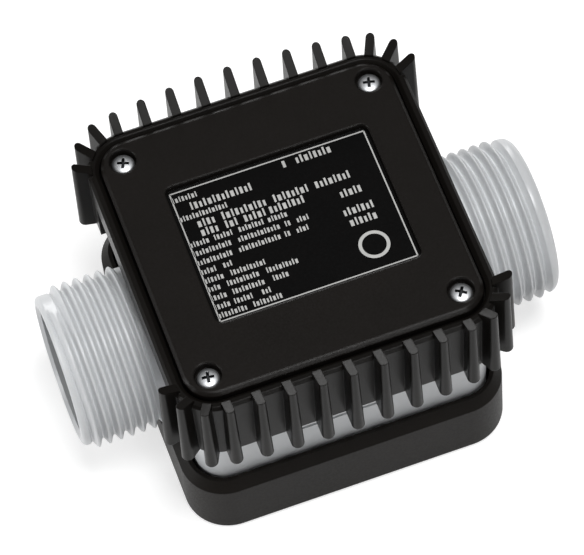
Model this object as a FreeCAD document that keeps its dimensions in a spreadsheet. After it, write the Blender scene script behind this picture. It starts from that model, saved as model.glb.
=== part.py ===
import FreeCAD, Part
import math
import os
import re

import Sketcher
from FreeCAD import Placement, Rotation, Vector

# Turbine flow meter with G1 threaded ports, in millimetres.
# Flow runs along +X, +Z is up, and the origin is the centre of the base's underside.

doc = FreeCAD.newDocument("turbine_flow_meter")
sheet = doc.addObject("Spreadsheet::Sheet", "Sizes")

sizes = {
    # Moulded body: a rounded square block with the flow tube through it.
    "meter_length": 100.0,
    "flow_height": 23.0,
    "body_side": 60.6,
    "body_corner": 6.0,
    "body_wall": 2.8,
    "body_rise": 20.6,
    "well_rise": 15.4,
    "well_web": 1.8,
    "post_side": 8.2,
    "tube_radius": 15.1,
    "bore_radius": 12.0,
    "port_radius": 13.0,
    "port_chamfer": 0.8,
    "front_slot_length": 17.0,
    "front_slot_shift": 2.0,
    "front_slot_height": 0.7,
    "front_slot_depth": 0.5,
    "front_slot_rise": 2.3,
    # G1 threaded spigots: crest, run-out neck and plain pilot.
    "thread_radius": 16.62,
    "thread_start": 33.4,
    "neck_radius": 15.9,
    "pilot_radius": 15.9,
    "pilot_length": 2.6,
    "thread_chamfer": 0.7,
    # Finned housing round the top of the body.
    "skirt_gap": 0.4,
    "skirt_wall": 2.3,
    "skirt_rise": 8.0,
    "flange_thickness": 1.2,
    "flange_width": 6.2,
    "rim_drop": 0.9,
    "rim_chamfer": 0.6,
    "lid_seat_chamfer": 0.8,
    "opening_width": 44.0,
    "opening_rise": 18.2,
    "fin_pitch": 6.1,
    "fin_width": 2.6,
    "fin_taper": 1.2,
    "fin_rise": 2.7,
    "fin_reach": 12.0,
    "fin_bow": 1.35,
    "fin_root": 0.9,
    "fin_top_slope": 61.0,
    "fan_step": 26.0,
    # Lid, label and gasket.
    "lid_thickness": 3.4,
    "lid_bevel": 0.7,
    "gasket_thickness": 0.7,
    "gasket_inset": 0.9,
    "label_length": 42.0,
    "label_width": 32.4,
    "label_shift_x": 0.7,
    "label_shift_y": 0.4,
    "label_corner": 1.6,
    "label_recess": 1.6,
    "label_gap": 0.2,
    "label_thickness": 0.4,
    # Housing screws, the same at the lid and at the base.
    "screw_place": 25.6,
    "screw_radius": 1.45,
    "screw_hole_gap": 0.1,
    "screw_length": 12.0,
    "screw_hole_depth": 13.0,
    "screw_head_radius": 2.2,
    "screw_rim_height": 0.8,
    "screw_crown_height": 0.6,
    "screw_crown_radius": 1.3,
    "screw_sink": 2.0,
    "screw_ring_radius": 2.7,
    # Base shell under the body.
    "base_side": 66.8,
    "base_corner": 9.0,
    "base_height": 16.6,
    "base_floor": 2.6,
    "base_gap": 0.7,
    "base_shoulder_width": 1.6,
    "base_shoulder_height": 2.4,
    "base_edge": 0.8,
    "notch_gap": 0.7,
    "base_screw_sink": 1.6,
    # Circuit board in the well under the lid.
    "board_length": 46.0,
    "board_width": 34.0,
    "board_thickness": 1.6,
    "board_lift": 1.2,
    "board_screw_x": 20.0,
    "board_screw_y": 14.0,
    "board_screw_radius": 1.0,
    "board_head_radius": 1.8,
    "board_head_height": 1.2,
    "spacer_radius": 2.2,
    "reed_radius": 1.1,
    "reed_length": 13.0,
    "reed_lead": 4.0,
    "reed_lead_radius": 0.3,
    "reed_foot_radius": 0.24,
    "terminal_length": 15.0,
    "terminal_width": 6.5,
    "terminal_height": 3.6,
    "terminal_gap": 1.0,
    "resistor_radius": 0.9,
    "resistor_length": 6.0,
    "resistor_lead_span": 9.6,
    "grommet_radius": 1.4,
    "grommet_hole": 0.9,
    "grommet_flange": 1.7,
    "grommet_lip": 0.8,
    "grommet_drop": 2.5,
    # Turbine in the bore.
    "seat_gap": 0.05,
    "spider_place": 15.5,
    "spider_length": 7.8,
    "spider_ring": 1.2,
    "spider_hub_face": 8.2,
    "spider_nose": 5.2,
    "spider_nose_round": 4.2,
    "vane_thickness": 1.2,
    "hub_radius": 4.6,
    "ring_groove_depth": 0.9,
    "ring_thickness": 1.0,
    "ring_width": 1.9,
    "ring_mouth": 9.0,
    "rotor_half": 7.4,
    "rotor_edge": 0.8,
    "blade_tip": 11.5,
    "blade_root": 4.2,
    "blade_width": 1.3,
    "blade_span": 10.6,
    "blade_pitch": 62.0,
    "bush_radius": 2.2,
    "bush_length": 3.0,
    "shaft_radius": 1.0,
    "shaft_fit": 0.05,
    "shaft_seat": 4.0,
    "washer_radius": 2.6,
    "washer_thickness": 0.3,
    "magnet_radius": 1.2,
    "magnet_length": 1.8,
}
for row, (alias, value) in enumerate(sizes.items(), start=1):
    sheet.set("A%d" % row, alias)
    sheet.set("B%d" % row, str(value))
    sheet.setAlias("B%d" % row, alias)
doc.recompute()

straight_steps = 4
fan_steps = 3
spider_vanes = 6
rotor_blades = 4
corners = [(-1, -1), (1, -1), (1, 1), (-1, 1)]

# Heights that follow the flow axis, so that the tube keeps its room when it moves.
heights = {
    "body_top": "(flow_height + body_rise)",
    "well_floor": "(flow_height + well_rise)",
    "skirt_bottom": "(flow_height + skirt_rise)",
    "opening_top": "(flow_height + opening_rise)",
    "grommet_height": "(flow_height + body_rise - grommet_drop)",
}

# Places worked out from the driving sizes.
body_half = "(body_side / 2)"
corner_place = "(body_side / 2 - body_corner)"
length_half = "(meter_length / 2)"
lid_under = "(body_top + flange_thickness + gasket_thickness)"
lid_top = "(body_top + flange_thickness + gasket_thickness + lid_thickness)"
rim_top = "(body_top + flange_thickness + gasket_thickness + lid_thickness - rim_drop)"
skirt_inner = "(body_side / 2 + skirt_gap)"
skirt_outer = "(body_side / 2 + skirt_gap + skirt_wall)"
screw_hole = "(screw_radius + screw_hole_gap)"
board_under = "(well_floor + board_lift)"
board_top = "(well_floor + board_lift + board_thickness)"
base_half = "(base_side / 2)"


def expand(text):
    """Turns each height into its sum and each alias into a reference to its cell."""
    for name, total in heights.items():
        text = re.sub(r"\b%s\b" % name, total, text)
    return re.sub(r"[a-z]+_[a-z_]+", lambda found: "Sizes." + found.group(0), text)


def value_of(text):
    """Number that an expression gives with the present sizes."""
    return float(sheet.evalExpression(expand(text)))


def bind(item, path, text):
    item.setExpression(path, expand(text))


def origin_feature(body, role):
    return [item for item in body.Origin.OriginFeatures if item.Role == role][0]


def new_body(label):
    body = doc.addObject("PartDesign::Body", label)
    body.Label = label
    return body


def new_sketch(body, name, plane, offset="0"):
    """Empty sketch on an origin plane, moved along the plane's normal by an expression."""
    sketch = body.newObject("Sketcher::SketchObject", name)
    sketch.AttachmentSupport = [(origin_feature(body, plane), "")]
    sketch.MapMode = "FlatFace"
    if offset != "0":
        bind(sketch, ".AttachmentOffset.Base.z", offset)
    return sketch


def place_coordinate(sketch, kind, geo, pos, text):
    """Holds one coordinate of a point at an expression measured from the sketch's origin."""
    value = value_of(text)
    if abs(value) < 1e-9:
        axis = -2 if kind == "DistanceX" else -1
        sketch.addConstraint(Sketcher.Constraint("PointOnObject", geo, pos, axis))
        return
    ends = (-1, 1, geo, pos) if value > 0 else (geo, pos, -1, 1)
    index = sketch.addConstraint(Sketcher.Constraint(kind, *ends, abs(value)))
    bind(sketch, "Constraints[%d]" % index, text if value > 0 else "-(%s)" % text)


def place_point(sketch, geo, pos, x_text, y_text):
    place_coordinate(sketch, "DistanceX", geo, pos, x_text)
    place_coordinate(sketch, "DistanceY", geo, pos, y_text)


def draw_circle(sketch, x_text, y_text, radius):
    centre = Vector(value_of(x_text), value_of(y_text), 0)
    circle = Part.Circle(centre, Vector(0, 0, 1), value_of(radius))
    geo = sketch.addGeometry(circle, False)
    place_point(sketch, geo, 3, x_text, y_text)
    index = sketch.addConstraint(Sketcher.Constraint("Radius", geo, value_of(radius)))
    bind(sketch, "Constraints[%d]" % index, radius)


def draw_polygon(sketch, points):
    """Closed outline of straight edges with every corner held by its expressions."""
    spots = [Vector(value_of(x), value_of(y), 0) for x, y in points]
    count = len(spots)
    first = sketch.GeometryCount
    for number in range(count):
        edge = Part.LineSegment(spots[number], spots[(number + 1) % count])
        sketch.addGeometry(edge, False)
    for number in range(count):
        following = first + (number + 1) % count
        sketch.addConstraint(Sketcher.Constraint("Coincident", first + number, 2, following, 1))
    for number, (x_text, y_text) in enumerate(points):
        place_point(sketch, first + number, 1, x_text, y_text)


def draw_rounded(sketch, half_x, half_y, radius, shift_x="0", shift_y="0"):
    """Rounded rectangle with its half sizes, corner radius and centre held by expressions."""
    width, depth, corner = value_of(half_x), value_of(half_y), value_of(radius)
    middle = Vector(value_of(shift_x), value_of(shift_y), 0)
    first = sketch.GeometryCount
    for number, (side_x, side_y) in enumerate([(1, 1), (-1, 1), (-1, -1), (1, -1)]):
        centre = middle + Vector(side_x * (width - corner), side_y * (depth - corner), 0)
        circle = Part.Circle(centre, Vector(0, 0, 1), corner)
        start = number * math.pi / 2
        sketch.addGeometry(Part.ArcOfCircle(circle, start, start + math.pi / 2), False)
    arcs = [sketch.Geometry[first + number] for number in range(4)]
    for number in range(4):
        edge = Part.LineSegment(arcs[number].EndPoint, arcs[(number + 1) % 4].StartPoint)
        sketch.addGeometry(edge, False)
    for number in range(4):
        line = first + 4 + number
        sketch.addConstraint(Sketcher.Constraint("Tangent", first + number, 2, line, 1))
        sketch.addConstraint(Sketcher.Constraint("Tangent", line, 2, first + (number + 1) % 4, 1))
        kind = "Horizontal" if number % 2 == 0 else "Vertical"
        sketch.addConstraint(Sketcher.Constraint(kind, line))
    for number in range(1, 4):
        sketch.addConstraint(Sketcher.Constraint("Equal", first, first + number))
    index = sketch.addConstraint(Sketcher.Constraint("Radius", first, corner))
    bind(sketch, "Constraints[%d]" % index, radius)
    place_coordinate(sketch, "DistanceY", first + 4, 1, "%s + %s" % (shift_y, half_y))
    place_coordinate(sketch, "DistanceX", first + 5, 1, "%s - %s" % (shift_x, half_x))
    place_coordinate(sketch, "DistanceY", first + 6, 1, "%s - %s" % (shift_y, half_y))
    place_coordinate(sketch, "DistanceX", first + 7, 1, "%s + %s" % (shift_x, half_x))


def draw_fin(sketch, place, root, tip, width):
    """Plan of a fin that points along +Y: straight flanks and a half-round tip."""
    middle, inner, outer = value_of(place), value_of(root), value_of(tip)
    half = value_of(width) / 2
    start = outer - half
    flank = Part.LineSegment(Vector(middle - half, start, 0), Vector(middle - half, inner, 0))
    foot = Part.LineSegment(Vector(middle - half, inner, 0), Vector(middle + half, inner, 0))
    other = Part.LineSegment(Vector(middle + half, inner, 0), Vector(middle + half, start, 0))
    circle = Part.Circle(Vector(middle, start, 0), Vector(0, 0, 1), half)
    for edge in (flank, foot, other, Part.ArcOfCircle(circle, 0, math.pi)):
        sketch.addGeometry(edge, False)
    sketch.addConstraint(Sketcher.Constraint("Coincident", 0, 2, 1, 1))
    sketch.addConstraint(Sketcher.Constraint("Coincident", 1, 2, 2, 1))
    sketch.addConstraint(Sketcher.Constraint("Tangent", 2, 2, 3, 1))
    sketch.addConstraint(Sketcher.Constraint("Tangent", 3, 2, 0, 1))
    sketch.addConstraint(Sketcher.Constraint("Vertical", 0))
    sketch.addConstraint(Sketcher.Constraint("Horizontal", 1))
    index = sketch.addConstraint(Sketcher.Constraint("Radius", 3, half))
    bind(sketch, "Constraints[%d]" % index, "%s / 2" % width)
    place_point(sketch, 3, 3, place, "%s - %s / 2" % (tip, width))
    place_coordinate(sketch, "DistanceY", 1, 1, root)


def pad(body, sketch, length, name, taper=None, both_ways=False):
    feature = body.newObject("PartDesign::Pad", name)
    feature.Profile = sketch
    bind(feature, "Length", length)
    if both_ways:
        feature.SideType = "Symmetric"
    if taper:
        bind(feature, "TaperAngle", taper)
    body.Tip = feature
    return feature


def pocket(body, sketch, length, name, upward=False, both_ways=False, taper=None):
    """Cut along the sketch's normal; a plain pocket cuts downward from its sketch."""
    feature = body.newObject("PartDesign::Pocket", name)
    feature.Profile = sketch
    bind(feature, "Length", length)
    if both_ways:
        feature.SideType = "Symmetric"
    if taper:
        bind(feature, "TaperAngle", taper)
    feature.Reversed = upward
    body.Tip = feature
    return feature


def revolve(body, sketch, name, cut=False):
    """Full turn about the sketch's horizontal axis."""
    kind = "PartDesign::Groove" if cut else "PartDesign::Revolution"
    feature = body.newObject(kind, name)
    feature.Profile = sketch
    feature.ReferenceAxis = (sketch, ["H_Axis"])
    feature.Angle = 360
    body.Tip = feature
    return feature


def flow_sketch(body, name):
    """Sketch in the XZ plane whose horizontal axis is the flow axis."""
    sketch = new_sketch(body, name, "XZ_Plane")
    bind(sketch, ".AttachmentOffset.Base.y", "flow_height")
    return sketch


def polar(body, original, axis, count, angle, name):
    feature = body.newObject("PartDesign::PolarPattern", name)
    feature.Originals = [original]
    feature.Axis = axis
    feature.Occurrences = count
    if isinstance(angle, str):
        bind(feature, "Angle", angle)
    else:
        feature.Angle = angle
    body.Tip = feature
    return feature


def mirror_shape(body, plane, name):
    """Adds the mirror image of everything the body holds so far."""
    base = body.Tip
    feature = body.newObject("PartDesign::Mirrored", name)
    feature.TransformMode = "Whole shape"
    feature.MirrorPlane = (origin_feature(body, plane), [""])
    feature.BaseFeature = base
    body.Tip = feature
    return feature


def edge_names(feature, wanted):
    """Names of the feature's edges that pass the test."""
    doc.recompute()
    edges = feature.Shape.Edges
    return ["Edge%d" % (number + 1) for number, edge in enumerate(edges) if wanted(edge)]


def dress(body, kind, feature, wanted, size, name):
    """Fillet or chamfer on the chosen edges of a feature."""
    names = edge_names(feature, wanted)
    dressing = body.newObject("PartDesign::" + kind, name)
    dressing.Base = (feature, names)
    bind(dressing, "Radius" if kind == "Fillet" else "Size", size)
    body.Tip = dressing
    return dressing


def at_height(text, outside):
    """Test for edges that lie level at a height and outside a half width."""
    level, reach = value_of(text), value_of(outside)

    def wanted(edge):
        box = edge.BoundBox
        flat = abs(box.ZMin - level) < 0.01 and abs(box.ZMax - level) < 0.01
        far = max(abs(box.XMin), abs(box.XMax), abs(box.YMin), abs(box.YMax))
        return flat and far > reach
    return wanted


def cylinder(name, radius, length, x="0", y="0", z="0", turn=None):
    """Part cylinder whose axis is Z, or the axis that the turn gives it."""
    item = doc.addObject("Part::Cylinder", name)
    item.Placement = Placement(Vector(), turn or Rotation())
    bind(item, "Radius", radius)
    bind(item, "Height", length)
    for letter, text in zip("xyz", (x, y, z)):
        bind(item, ".Placement.Base." + letter, text)
    return item


def cone(name, low_radius, high_radius, length, x, y, z, turn=None):
    item = doc.addObject("Part::Cone", name)
    item.Placement = Placement(Vector(), turn or Rotation())
    bind(item, "Radius1", low_radius)
    bind(item, "Radius2", high_radius)
    bind(item, "Height", length)
    for letter, text in zip("xyz", (x, y, z)):
        bind(item, ".Placement.Base." + letter, text)
    return item


def block(name, lengths, x, y, z):
    item = doc.addObject("Part::Box", name)
    for side, text in zip(("Length", "Width", "Height"), lengths):
        bind(item, side, text)
    for letter, text in zip("xyz", (x, y, z)):
        bind(item, ".Placement.Base." + letter, text)
    return item


def fuse(name, items):
    joined = doc.addObject("Part::MultiFuse", name)
    joined.Shapes = items
    joined.Label = name
    return joined


def cut(name, base, tool):
    item = doc.addObject("Part::Cut", name)
    item.Base = base
    item.Tool = tool
    item.Label = name
    return item


def group(name, items):
    """Identical solids kept as one node."""
    compound = doc.addObject("Part::Compound", name)
    compound.Links = items
    compound.Label = name
    return compound


along_x = Rotation(Vector(0, 1, 0), 90)
along_minus_x = Rotation(Vector(0, 1, 0), -90)
along_y = Rotation(Vector(1, 0, 0), -90)
upside_down = Rotation(Vector(1, 0, 0), 180)


def well_outline(body, name, height):
    """Two crossing rounded rectangles that leave the four corner posts standing."""
    inner = "(body_side / 2 - body_wall)"
    narrow = "(body_side / 2 - body_wall - post_side)"
    pairs = [(inner, narrow), (narrow, inner)]
    sketches = []
    for number, (half_x, half_y) in enumerate(pairs):
        sketch = new_sketch(body, "%s_%d" % (name, number), "XY_Plane", height)
        draw_rounded(sketch, half_x, half_y, "body_wall / 2")
        sketches.append(sketch)
    return sketches


def corner_circles(body, name, height, radius):
    sketch = new_sketch(body, name, "XY_Plane", height)
    for side_x, side_y in corners:
        draw_circle(sketch, "%d * screw_place" % side_x, "%d * screw_place" % side_y, radius)
    return sketch


def make_meter_body():
    body = new_body("meter_body")
    outline = new_sketch(body, "body_outline", "XY_Plane", "base_floor")
    draw_rounded(outline, body_half, body_half, "body_corner")
    pad(body, outline, "body_top - base_floor", "body_block")
    for number, sketch in enumerate(well_outline(body, "well_plan", "body_top")):
        pocket(body, sketch, "body_top - well_floor", "board_well_%d" % number)
    for number, sketch in enumerate(well_outline(body, "hollow_plan", "base_floor")):
        depth = "well_floor - well_web - base_floor"
        pocket(body, sketch, depth, "lower_hollow_%d" % number, upward=True)

    tube = flow_sketch(body, "tube_profile")
    crest_end = "(meter_length / 2 - pilot_length)"
    half_outline = [
        ("body_side / 2 - body_wall", "tube_radius"),
        ("body_side / 2 - body_wall", "neck_radius"),
        ("thread_start", "neck_radius"),
        ("thread_start + thread_chamfer", "thread_radius"),
        (crest_end + " - thread_chamfer", "thread_radius"),
        (crest_end, "pilot_radius"),
        (length_half + " - thread_chamfer", "pilot_radius"),
        (length_half, "pilot_radius - thread_chamfer"),
        (length_half, "bore_radius"),
    ]
    mirrored = [("-(%s)" % x, y) for x, y in reversed(half_outline)]
    draw_polygon(tube, half_outline + mirrored)
    revolve(body, tube, "flow_tube")

    bore = flow_sketch(body, "bore_profile")
    groove_start = "(spider_place + spider_length + seat_gap)"
    half_bore = [
        ("spider_place", "bore_radius"),
        ("spider_place", "port_radius"),
        (groove_start, "port_radius"),
        (groove_start, "port_radius + ring_groove_depth"),
        (groove_start + " + ring_thickness + 2 * seat_gap", "port_radius + ring_groove_depth"),
        (groove_start + " + ring_thickness + 2 * seat_gap", "port_radius"),
        (length_half + " - port_chamfer", "port_radius"),
        (length_half, "port_radius + port_chamfer"),
        (length_half + " + port_chamfer", "port_radius + port_chamfer"),
        (length_half + " + port_chamfer", "0"),
    ]
    mirrored = [("-(%s)" % x, y) for x, y in reversed(half_bore)]
    draw_polygon(bore, half_bore + mirrored)
    revolve(body, bore, "flow_bore", cut=True)

    top_holes = corner_circles(body, "lid_screw_plan", "body_top", screw_hole)
    pocket(body, top_holes, "screw_hole_depth", "lid_screw_holes")
    low_holes = corner_circles(body, "base_screw_plan", "base_floor", screw_hole)
    pocket(body, low_holes, "screw_hole_depth", "base_screw_holes", upward=True)

    exit_hole = new_sketch(body, "cable_plan", "XZ_Plane", "-(body_side / 2)")
    draw_circle(exit_hole, "fin_pitch / 2", "grommet_height", "grommet_radius + seat_gap")
    pocket(body, exit_hole, "2 * body_wall", "cable_hole", both_ways=True)

    slot = new_sketch(body, "front_slot_plan", "XZ_Plane", "body_side / 2")
    left = "-(front_slot_shift) - front_slot_length / 2"
    right = "-(front_slot_shift) + front_slot_length / 2"
    low = "flow_height + front_slot_rise - front_slot_height"
    high = "flow_height + front_slot_rise"
    draw_polygon(slot, [(left, low), (right, low), (right, high), (left, high)])
    pocket(body, slot, "2 * front_slot_depth", "front_slot", both_ways=True)
    return body


def make_finned_housing():
    body = new_body("finned_housing")
    wall = new_sketch(body, "wall_plan", "XY_Plane", "skirt_bottom")
    draw_rounded(wall, skirt_outer, skirt_outer, "body_corner + skirt_gap + skirt_wall")
    block_pad = pad(body, wall, "%s - skirt_bottom" % rim_top, "wall_block")
    chamfer_test = at_height(rim_top, skirt_inner)
    dress(body, "Chamfer", block_pad, chamfer_test, "rim_chamfer", "rim_edge")

    low = new_sketch(body, "skirt_plan", "XY_Plane", "skirt_bottom")
    draw_rounded(low, skirt_inner, skirt_inner, "body_corner + skirt_gap")
    pocket(body, low, "body_top - skirt_bottom", "skirt_inside", upward=True)
    high = new_sketch(body, "lid_seat_plan", "XY_Plane", rim_top)
    draw_rounded(high, skirt_inner, skirt_inner, "body_corner + skirt_gap")
    seat = pocket(body, high, "%s - body_top - flange_thickness" % rim_top, "lid_seat")
    near_lid = at_height(rim_top, "0")
    past_rim = at_height(rim_top, "(%s + skirt_wall / 4)" % skirt_inner)
    dress(body, "Chamfer", seat, lambda edge: near_lid(edge) and not past_rim(edge),
          "lid_seat_chamfer", "lid_seat_edge")
    window = new_sketch(body, "flange_plan", "XY_Plane", "body_top + flange_thickness")
    opening = "(body_side / 2 + skirt_gap - flange_width)"
    draw_rounded(window, opening, opening, "body_corner")
    pocket(body, window, "2 * flange_thickness", "flange_window")
    posts = corner_circles(body, "post_plan", "body_top", "screw_ring_radius")
    pad(body, posts, "flange_thickness", "screw_lugs")
    holes = corner_circles(body, "hole_plan", "body_top + flange_thickness", screw_hole)
    pocket(body, holes, "flange_thickness", "screw_holes")

    ports = new_sketch(body, "port_plan", "YZ_Plane")
    half = "opening_width / 2"
    low_z = "skirt_bottom - skirt_wall"
    outline = [("-" + half, low_z), (half, low_z), (half, "opening_top"), ("-" + half, "opening_top")]
    draw_polygon(ports, outline)
    pocket(body, ports, "2 * (%s + skirt_wall)" % skirt_outer, "port_openings", both_ways=True)

    root = skirt_inner + " + fin_root"
    height = "%s + fin_rise - skirt_bottom" % lid_top
    for step in range(straight_steps + 1):
        sketch = new_sketch(body, "fin_plan_%d" % step, "XY_Plane", "skirt_bottom")
        if step < straight_steps:
            place = "%d * fin_pitch" % step
        else:
            place = corner_place
        share = 1.0 - (step / straight_steps) ** 2
        tip = "(%s + fin_reach + fin_bow * %.4f)" % (corner_place, share)
        draw_fin(sketch, place, root, tip, "fin_width")
        fin = pad(body, sketch, height, "fin_%d" % step, taper="-fin_taper")
    pivot = new_sketch(body, "fan_pivot", "XY_Plane")
    draw_circle(pivot, "0", "0", "fin_width")
    bind(pivot, ".AttachmentOffset.Base.x", corner_place)
    bind(pivot, ".AttachmentOffset.Base.y", corner_place)
    sweep = "%d * fan_step" % fan_steps
    fan = polar(body, fin, (pivot, ["N_Axis"]), fan_steps + 1, sweep, "corner_fan")
    fan.Reversed = True
    mirror_shape(body, "YZ_Plane", "fins_left")
    mirror_shape(body, "XZ_Plane", "fins_front")

    # The fins' top edges climb outward from the rim, so the cut widens as it rises.
    dish = new_sketch(body, "fin_top_plan", "XY_Plane", rim_top)
    draw_rounded(dish, skirt_inner, skirt_inner, "body_corner + skirt_gap")
    pocket(body, dish, "2 * (rim_drop + fin_rise)", "fin_tops", upward=True,
           taper="fin_top_slope")
    exit_hole = new_sketch(body, "cable_plan", "XZ_Plane", "-%s" % skirt_outer)
    draw_circle(exit_hole, "fin_pitch / 2", "grommet_height", "grommet_radius + seat_gap")
    pocket(body, exit_hole, "3 * skirt_wall", "cable_hole", both_ways=True)
    return body


def make_top_lid():
    body = new_body("top_lid")
    outline = new_sketch(body, "lid_plan", "XY_Plane", lid_under)
    draw_rounded(outline, body_half, body_half, "body_corner")
    plate = pad(body, outline, "lid_thickness", "lid_plate")
    dress(body, "Chamfer", plate, at_height(lid_top, "0"), "lid_bevel", "lid_bevel_edge")
    recess = new_sketch(body, "label_plan", "XY_Plane", lid_top)
    halves = ("label_length / 2", "label_width / 2")
    draw_rounded(recess, *halves, "label_corner", "label_shift_x", "label_shift_y")
    pocket(body, recess, "label_recess", "label_pocket")
    sinks = corner_circles(body, "sink_plan", lid_top, "screw_ring_radius")
    pocket(body, sinks, "screw_sink", "screw_sinks")
    holes = corner_circles(body, "hole_plan", lid_top, screw_hole)
    pocket(body, holes, "2 * lid_thickness", "screw_holes")
    return body


def make_label_plate():
    body = new_body("label_plate")
    plan = new_sketch(body, "label_outline", "XY_Plane", "%s - label_recess" % lid_top)
    halves = ("(label_length / 2 - label_gap)", "(label_width / 2 - label_gap)")
    draw_rounded(plan, *halves, "label_corner - label_gap", "label_shift_x", "label_shift_y")
    pad(body, plan, "label_thickness", "label_sheet")
    return body


def make_lid_gasket():
    body = new_body("lid_gasket")
    plan = new_sketch(body, "gasket_outline", "XY_Plane", "body_top + flange_thickness")
    outer = "(body_side / 2 - gasket_inset)"
    draw_rounded(plan, outer, outer, "body_corner - gasket_inset")
    pad(body, plan, "gasket_thickness", "gasket_sheet")
    window = new_sketch(body, "gasket_window", "XY_Plane", lid_under)
    inner = "(body_side / 2 + skirt_gap - flange_width)"
    draw_rounded(window, inner, inner, "body_corner")
    pocket(body, window, "2 * gasket_thickness", "gasket_opening")
    holes = corner_circles(body, "hole_plan", lid_under, screw_hole)
    pocket(body, holes, "2 * gasket_thickness", "screw_holes")
    return body


def make_base_shell():
    body = new_body("base_shell")
    outline = new_sketch(body, "base_outline", "XY_Plane")
    draw_rounded(outline, base_half, base_half, "base_corner")
    block_pad = pad(body, outline, "base_height", "base_block")
    shoulder = dress(body, "Chamfer", block_pad, at_height("base_height", "0"),
                     "base_shoulder_width", "base_shoulder")
    shoulder.ChamferType = "Two distances"
    bind(shoulder, "Size2", "base_shoulder_height")
    shoulder.FlipDirection = True
    dress(body, "Fillet", shoulder, at_height("0", "0"), "base_edge", "base_edge_round")
    inside = new_sketch(body, "base_inside", "XY_Plane", "base_height")
    cavity = "(body_side / 2 + base_gap)"
    draw_rounded(inside, cavity, cavity, "body_corner + base_gap")
    pocket(body, inside, "base_height - base_floor", "base_cavity")
    notch = new_sketch(body, "notch_plan", "YZ_Plane")
    draw_circle(notch, "0", "flow_height", "thread_radius + notch_gap")
    pocket(body, notch, "base_side + 2 * base_gap", "spigot_notches", both_ways=True)
    sinks = corner_circles(body, "sink_plan", "0", "screw_ring_radius")
    pocket(body, sinks, "base_screw_sink", "screw_sinks", upward=True)
    holes = corner_circles(body, "hole_plan", "0", screw_hole)
    pocket(body, holes, "2 * base_floor", "screw_holes", upward=True)
    return body


def make_screws(name, from_top):
    """Four pan-head screws, downward through the lid or upward through the base."""
    turn = upside_down if from_top else Rotation()
    seat = "%s - screw_sink" % lid_top if from_top else "base_screw_sink"
    side = "1" if from_top else "-1"
    screws = []
    for number, (side_x, side_y) in enumerate(corners):
        x = "%d * screw_place" % side_x
        y = "%d * screw_place" % side_y
        key = "%s_%d" % (name, number)
        shank = cylinder(key + "_shank", "screw_radius", "screw_length", x, y, seat, turn)
        away = Rotation() if from_top else upside_down
        head = cylinder(key + "_head", "screw_head_radius", "screw_rim_height",
                        x, y, seat, away)
        crown_seat = "%s + %s * screw_rim_height" % (seat, side)
        crown = cone(key + "_crown", "screw_head_radius", "screw_crown_radius",
                     "screw_crown_height", x, y, crown_seat, away)
        screws.append(fuse(key, [shank, head, crown]))
    return group(name, screws)


def make_circuit_board():
    body = new_body("circuit_board")
    plan = new_sketch(body, "board_plan", "XY_Plane", board_under)
    draw_rounded(plan, "board_length / 2", "board_width / 2", "board_screw_radius")
    pad(body, plan, "board_thickness", "board_sheet")
    holes = new_sketch(body, "hole_plan", "XY_Plane", board_top)
    for side_x, side_y in corners:
        spot = ("%d * board_screw_x" % side_x, "%d * board_screw_y" % side_y)
        draw_circle(holes, *spot, "board_screw_radius + seat_gap")
    pocket(body, holes, "2 * board_thickness", "screw_holes")
    return body


def make_board_fasteners():
    spacers, screws = [], []
    for number, (side_x, side_y) in enumerate(corners):
        x = "%d * board_screw_x" % side_x
        y = "%d * board_screw_y" % side_y
        sleeve = cylinder("spacer_%d" % number, "spacer_radius", "board_lift", x, y, "well_floor")
        hole = cylinder("spacer_hole_%d" % number, "board_screw_radius + seat_gap",
                        "2 * board_lift", x, y, "well_floor - board_lift / 2")
        spacers.append(cut("spacer_sleeve_%d" % number, sleeve, hole))
        length = "board_lift + board_thickness"
        shank = cylinder("board_shank_%d" % number, "board_screw_radius", length, x, y, "well_floor")
        head = cylinder("board_head_%d" % number, "board_head_radius", "board_head_height",
                        x, y, board_top)
        screws.append(fuse("board_screw_%d" % number, [shank, head]))
    return group("board_spacers", spacers), group("board_screws", screws)


def make_reed_switch():
    """Glass capsule across the flow above the rotor, with a bent lead at each end."""
    axis = "(%s + reed_radius)" % board_top
    glass = cylinder("reed_glass", "reed_radius", "reed_length", "0", "-reed_length / 2",
                     axis, along_y)
    pieces = [glass]
    for number, side in enumerate((-1, 1)):
        start = "%d * (reed_length / 2 + reed_lead / 2) - reed_lead / 2" % side
        lead = cylinder("reed_lead_%d" % number, "reed_lead_radius", "reed_lead", "0", start,
                        axis, along_y)
        foot = cylinder("reed_foot_%d" % number, "reed_foot_radius", "reed_radius", "0",
                        "%d * (reed_length / 2 + reed_lead - 2 * reed_lead_radius)" % side,
                        board_top)
        pieces += [lead, foot]
    return fuse("reed_switch", pieces)


def make_terminal_block():
    """Two-way terminal block near the cable exit, with its clamp screws' wells."""
    x = "(board_screw_x - board_head_radius - terminal_gap - terminal_length)"
    y = "board_width / 2 - terminal_width - board_lift"
    case = block("terminal_case", ("terminal_length", "terminal_width", "terminal_height"),
                 x, y, board_top)
    wells = []
    for number in (1, 2):
        spot = "%s + terminal_length * %d / 3" % (x, number)
        middle = "%s + terminal_width / 2" % y
        floor = "%s + terminal_height / 2" % board_top
        wells.append(cylinder("terminal_well_%d" % number, "terminal_width / 4",
                              "terminal_height", spot, middle, floor))
    return cut("terminal_block", case, fuse("terminal_wells", wells))


def make_pulse_resistor():
    x = "-board_screw_x / 2"
    height = "(%s + resistor_radius)" % board_top
    start = "-board_screw_y / 2 - resistor_length / 2"
    barrel = cylinder("resistor_barrel", "resistor_radius", "resistor_length", x, start,
                      height, along_y)
    lead = cylinder("resistor_lead", "reed_lead_radius", "resistor_lead_span", x,
                    "-board_screw_y / 2 - resistor_lead_span / 2", height, along_y)
    return fuse("pulse_resistor", [barrel, lead])


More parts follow.
